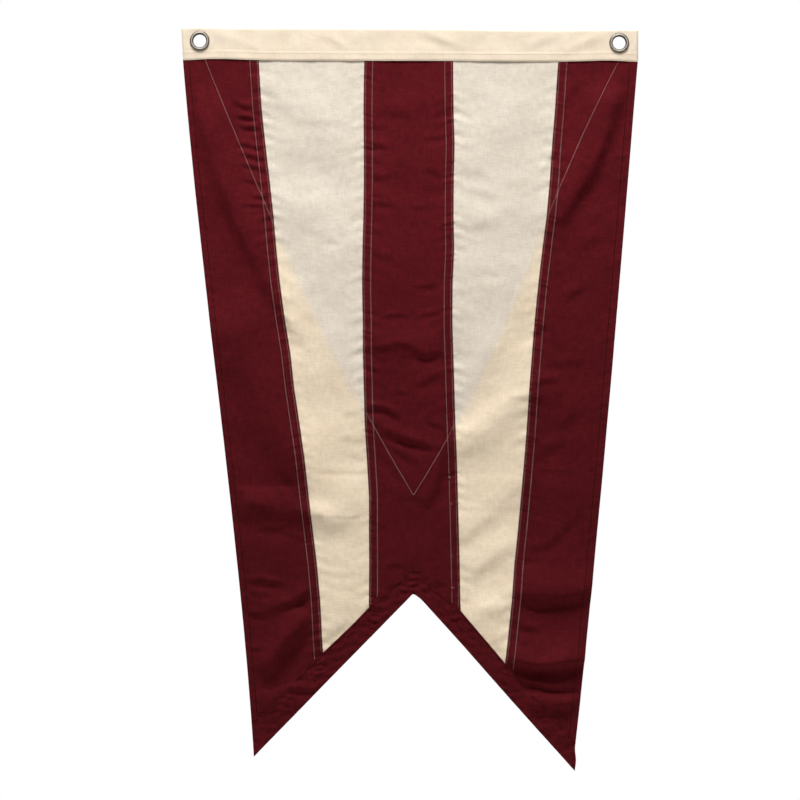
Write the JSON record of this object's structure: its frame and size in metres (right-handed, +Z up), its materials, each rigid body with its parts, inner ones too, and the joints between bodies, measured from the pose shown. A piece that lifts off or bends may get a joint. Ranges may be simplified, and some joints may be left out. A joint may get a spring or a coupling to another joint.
{
  "type": "state flag",
  "caption": "Swallow-tailed striped cotton flag hanging from two eyelets in a canvas heading, with faced tails and a triangular patch on its hidden side.",
  "frame": {"origin": "middle of the heading's folded top edge, on the plane of the two eyelets", "axes": "+Z up, +X to the right along the heading, -Y out of the face with the felled seams and the facings"},
  "size_m": [0.6108, 0.027, 0.9892],
  "materials": {
    "heading_canvas": "natural cotton canvas, plain weave",
    "maroon_cotton": "dyed cotton, plain weave",
    "cream_cotton": "natural cotton, plain weave",
    "patch_cotton": "dyed cotton, plain weave",
    "eyelet_nickel": "dull antique nickel"
  },
  "bodies": {
    "root": {"heading": "heading_canvas", "stripe_left": "maroon_cotton", "cream_left": "cream_cotton", "stripe_centre": "maroon_cotton", "cream_right": "cream_cotton", "stripe_right": "maroon_cotton", "facing_left": "maroon_cotton", "facing_right": "maroon_cotton", "hoist_triangle": "patch_cotton", "eyelet_left": "eyelet_nickel", "eyelet_right": "eyelet_nickel", "washer_left": "eyelet_nickel", "washer_right": "eyelet_nickel"}
  },
  "joints": []
}
